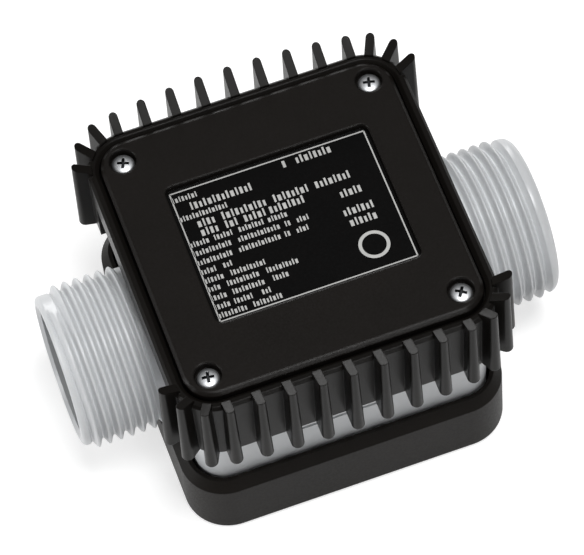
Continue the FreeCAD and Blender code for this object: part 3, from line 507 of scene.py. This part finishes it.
# height of each printed row, its size, and the start and stop of each block of bars, in mm
printedRows = [
    (14.0, "small", [(-19.4, -14.2)]), (14.2, "large", [(3.4, 4.6), (6.2, 13.6)]),
    (11.7, "large", [(-16.4, -4.0)]), (9.5, "small", [(-19.4, -9.4)]),
    (7.4, "large", [(-16.4, -12.6), (-11.4, -2.2), (-0.8, 6.6), (7.8, 15.0)]),
    (5.3, "large", [(-16.4, -12.6), (-11.4, -8.6), (-7.6, -3.4), (-2.4, 5.0)]),
    (3.3, "small", [(-19.4, -15.4), (-14.4, -10.6), (-9.4, -4.4), (-3.4, 0.4)]),
    (1.2, "small", [(-19.4, -11.2), (-10.2, -1.6), (-0.6, 0.8), (1.8, 4.4)]),
    (-1.0, "small", [(-19.4, -11.8), (-10.8, -2.4), (-1.4, 0.0), (1.0, 3.6)]),
    (-3.2, "small", [(-19.4, -16.0), (-14.8, -13.0)]),
    (-5.3, "small", [(-19.4, -15.2), (-14.0, -6.8)]),
    (-7.3, "small", [(-19.4, -16.4), (-15.4, -9.2), (-7.4, -1.2)]),
    (-9.4, "small", [(-19.4, -16.0), (-15.0, -8.8), (-6.8, -3.2)]),
    (-11.5, "small", [(-19.4, -16.4), (-15.4, -11.6), (-9.8, -7.6)]),
    (-13.5, "small", [(-19.4, -13.2), (-12.2, -6.6)]),
    (3.6, "large", [(11.6, 16.4)]), (-0.6, "large", [(10.8, 17.4)]),
    (-3.2, "large", [(11.2, 16.8)]),
]


def addBar(mesh, left, right, low, high):
    bar = bmesh.ops.create_cube(mesh, size=1)["verts"]
    bmesh.ops.scale(mesh, verts=bar, vec=(right - left, high - low, labelLook["ink"]))
    bmesh.ops.translate(mesh, verts=bar, vec=((left + right) / 2, (low + high) / 2,
                                              labelLook["top"] + labelLook["ink"] / 2))


mesh = bmesh.new()
midX, midY = labelLook["centre"]
halfX, halfY = labelLook["frameHalf"]
line = labelLook["frameWidth"]
for side in (-1, 1):
    addBar(mesh, midX - halfX, midX + halfX, midY + side * halfY - line / 2,
           midY + side * halfY + line / 2)
    addBar(mesh, midX + side * halfX - line / 2, midX + side * halfX + line / 2,
           midY - halfY, midY + halfY)
stamp = 0
for rowHeight, rowSize, blocks in printedRows:
    tall = labelLook[rowSize]
    for begin, stop in blocks:
        x = begin * mm
        while x < stop * mm - labelLook["endRoom"]:
            wide = tall * labelLook["barWidths"][stamp % len(labelLook["barWidths"])]
            lift = tall * labelLook["barLifts"][stamp % len(labelLook["barLifts"])]
            addBar(mesh, x, x + wide, rowHeight * mm - tall / 2,
                   rowHeight * mm + tall / 2 - lift)
            x += wide + tall * labelLook["barGap"]
            stamp += 1
# the ring is made at the origin, then lifted to its place on the label
ring = bmesh.ops.create_circle(mesh, radius=labelLook["ringRadius"],
                               segments=labelLook["ringSteps"])["verts"]
hoop = list({edge for vert in ring for edge in vert.link_edges})
grown = bmesh.ops.extrude_edge_only(mesh, edges=hoop)["geom"]
inside = [item for item in grown if isinstance(item, bmesh.types.BMVert)]
shrink = 1 - labelLook["ringWidth"] / labelLook["ringRadius"]
bmesh.ops.scale(mesh, verts=inside, vec=(shrink, shrink, 1))
flat = [item for item in grown if isinstance(item, bmesh.types.BMFace)]
bmesh.ops.solidify(mesh, geom=flat, thickness=labelLook["ink"])
moved = [vert for vert in mesh.verts if vert.co.z < labelLook["top"] / 2]
bmesh.ops.translate(mesh, verts=moved, vec=(*labelLook["ringPlace"],
                                            labelLook["top"] + labelLook["ink"]))
bmesh.ops.recalc_face_normals(mesh, faces=mesh.faces)
newPiece("labelPrint", mesh, "labelInk")
print("label print made")

stageLook = {
    "floor": "cfcfcf",
    "glow": 0.6,
    "half": 2.0,
    # the floor lies this far under the base, so that the two never share a plane
    "gap": 0.05 * mm,
    "world": "ffffff",
    "worldStrength": 0.14,
    "aim": (0, 0, 0.02),
}
floorMaterial = bpy.data.materials.new("paperFloor")
floorMaterial.use_nodes = True
tree = floorMaterial.node_tree
tree.nodes.clear()
# the paper keeps the shadow, and its glow is for the camera and for reflections only
paper = addNode(tree, "ShaderNodeBsdfDiffuse", inputs={"Color": hexColour(stageLook["floor"])})
rays = addNode(tree, "ShaderNodeLightPath")
seen = addNode(tree, "ShaderNodeMath", {"operation": "MAXIMUM"},
               links={0: rays.outputs["Is Camera Ray"], 1: rays.outputs["Is Glossy Ray"]})
seen = addNode(tree, "ShaderNodeMath", {"operation": "MAXIMUM"},
               links={0: seen.outputs[0], 1: rays.outputs["Is Transmission Ray"]})
level = addNode(tree, "ShaderNodeMath", {"operation": "MULTIPLY"},
                inputs={1: stageLook["glow"]}, links={0: seen.outputs[0]})
glow = addNode(tree, "ShaderNodeEmission", links={"Strength": level.outputs[0]})
both = addNode(tree, "ShaderNodeAddShader", links={0: paper.outputs[0], 1: glow.outputs[0]})
addNode(tree, "ShaderNodeOutputMaterial", links={"Surface": both.outputs[0]})
floorMesh = bmesh.new()
bmesh.ops.create_grid(floorMesh, x_segments=2, y_segments=2, size=stageLook["half"])
bmesh.ops.translate(floorMesh, verts=floorMesh.verts, vec=(0, 0, -stageLook["gap"]))
floor = meshObject("studioFloor", floorMesh)
floor.data.materials.append(floorMaterial)
print("floor made")

world = bpy.data.worlds.new("studioWorld")
bpy.context.scene.world = world
world.use_nodes = True
background = world.node_tree.nodes["Background"]
background.inputs["Color"].default_value = hexColour(stageLook["world"])
background.inputs["Strength"].default_value = stageLook["worldStrength"]

lamps = [
    # name, place, size, watts
    ("keySoftbox", (0.12, -0.22, 1.3), 0.45, 12),
    ("frontSoftbox", (0.25, -1.05, 0.6), 0.3, 1.6),
    ("leftSoftbox", (-1.1, 0.1, 0.35), 0.5, 5.5),
    ("backSoftbox", (0.1, 1.1, 0.27), 0.45, 4),
]
for name, place, size, watts in lamps:
    data = bpy.data.lights.new(name, "AREA")
    data.shape, data.size, data.energy = "SQUARE", size, watts
    lamp = bpy.data.objects.new(name, data)
    lamp.location = place
    towards = Vector(stageLook["aim"]) - Vector(place)
    lamp.rotation_euler = towards.to_track_quat("-Z", "Y").to_euler()
    bpy.context.scene.collection.objects.link(lamp)

view = {
    "place": (-0.10095, -0.39529, 0.72465),
    "turn": (30.236, 3.133, -19.588),
    "lens": 252.1,
    "sensor": 36,
    "clipStart": 0.01,
}
camera = bpy.data.objects.new("studioCamera", bpy.data.cameras.new("studioCamera"))
bpy.context.scene.collection.objects.link(camera)
bpy.context.scene.camera = camera
camera.location = view["place"]
camera.rotation_euler = [math.radians(angle) for angle in view["turn"]]
camera.data.lens = view["lens"]
camera.data.sensor_width = view["sensor"]
camera.data.clip_start = view["clipStart"]
print("lamps and camera placed")
bpy.context.scene.view_settings.view_transform = "Standard"
